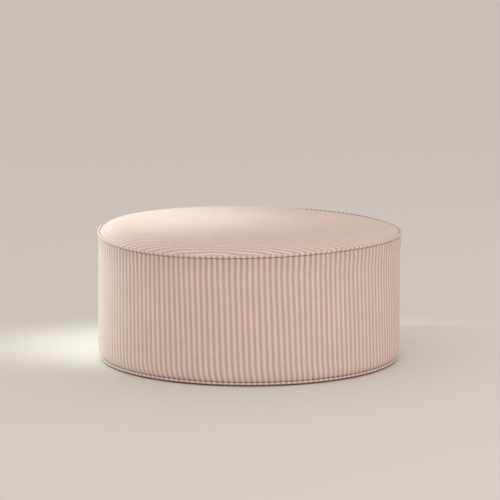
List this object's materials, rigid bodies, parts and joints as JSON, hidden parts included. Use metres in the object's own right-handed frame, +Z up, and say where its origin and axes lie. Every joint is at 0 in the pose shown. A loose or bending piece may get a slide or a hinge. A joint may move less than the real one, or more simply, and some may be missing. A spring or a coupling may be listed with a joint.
{
  "type": "round ottoman",
  "caption": "Low round filled ottoman in a striped cloth cover, with corded piping in its top and bottom seams and a softly crowned top.",
  "frame": {"origin": "on the floor, under the middle of the drum", "axes": "+Z up, the drum's axis; the front faces -Y, and +X is to the right as seen from there; the top panel's stripes are turned 13 degrees clockwise from +X, as seen from above"},
  "size_m": [0.8073, 0.8064, 0.3588],
  "materials": {
    "striped_cover": "matte woven cotton, pink and cream ticking stripe",
    "piping": "matte woven cotton over a cord, cut across the stripe",
    "base_cloth": "matte plain woven cotton"
  },
  "bodies": {
    "root": {"side_band": "striped_cover", "top_panel": "striped_cover", "base_panel": "base_cloth", "top_piping": "piping", "bottom_piping": "piping"}
  },
  "joints": []
}
